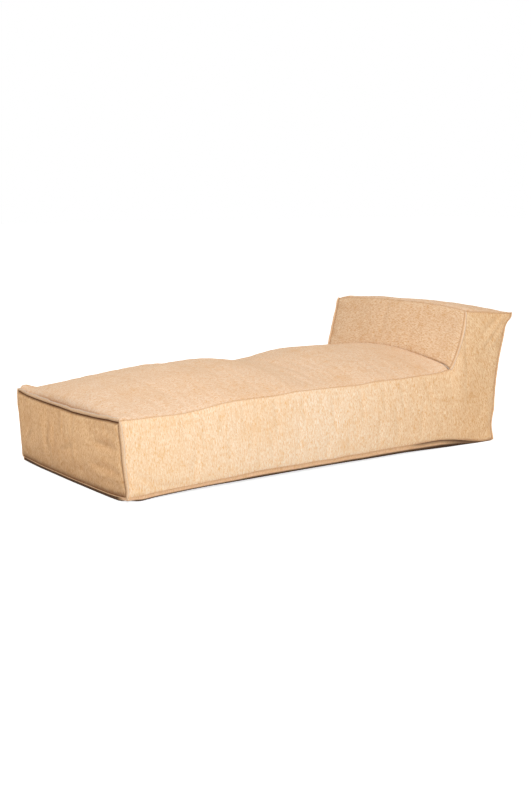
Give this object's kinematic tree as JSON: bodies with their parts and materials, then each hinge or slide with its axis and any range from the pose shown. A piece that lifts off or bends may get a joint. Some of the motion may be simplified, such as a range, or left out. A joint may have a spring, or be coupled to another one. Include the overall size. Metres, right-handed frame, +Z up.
{
  "type": "chaise longue",
  "caption": "Low soft chaise longue: a filled block with a wedge headrest at one end, in a sewn chenille cover with flat welts on its seams and a zip along the back.",
  "frame": {"origin": "on the floor, under the middle of the outline", "axes": "+X from the foot end to the headrest, +Z up, the pictured long side towards -Y"},
  "size_m": [1.8608, 0.8384, 0.5731],
  "materials": {
    "cover_chenille": "straw coloured chenille with short ochre flecks",
    "welt_chenille": "the same chenille, worn paler along its folded edges",
    "zip_tape": "woven polyester tape",
    "zip_coil": "nylon coil",
    "zip_metal": "satin nickel",
    "bag_cloth": "plain off-white cotton",
    "bead_filling": "loose white foam beads"
  },
  "bodies": {
    "lounger": {"seat_panel": "cover_chenille", "foot_panel": "cover_chenille", "near_side_panel": "cover_chenille", "far_side_panel": "cover_chenille", "headrest_front_panel": "cover_chenille", "headrest_top_panel": "cover_chenille", "back_panel": "cover_chenille", "back_hem_panel": "cover_chenille", "base_panel": "cover_chenille", "near_side_welt": "welt_chenille", "far_side_welt": "welt_chenille", "foot_top_welt": "welt_chenille", "foot_base_welt": "welt_chenille", "nook_welt": "welt_chenille", "headrest_front_welt": "welt_chenille", "headrest_back_welt": "welt_chenille", "back_base_welt": "welt_chenille", "zip_tape_upper": "zip_tape", "zip_tape_lower": "zip_tape", "zip_coil_upper": "zip_coil", "zip_coil_lower": "zip_coil", "zip_closed_stop": "zip_metal", "zip_open_stop": "zip_metal", "seat_bag": "bag_cloth", "seat_bag_flap": "bag_cloth", "seat_baffle_calf": "bag_cloth", "seat_baffle_hip": "bag_cloth", "headrest_bag": "bag_cloth", "headrest_bag_flap": "bag_cloth", "seat_fill_calf": "bead_filling", "seat_fill_thigh": "bead_filling", "seat_fill_hip": "bead_filling", "headrest_fill": "bead_filling"},
    "zip_slider": {"zip_slider": "zip_metal"},
    "zip_pull": {"zip_pull": "zip_metal"}
  },
  "joints": [
    {"name": "zip_slide", "type": "slide", "parent": "lounger", "child": "zip_slider", "axis": [0, 1, 0], "range_m": [0, 0.7044]},
    {"name": "pull_swing", "type": "hinge", "parent": "zip_slider", "child": "zip_pull", "pos_m": [0.84591, -0.35222, 0.076], "axis": [0, 0, -1], "range_deg": [0, 170]}
  ]
}
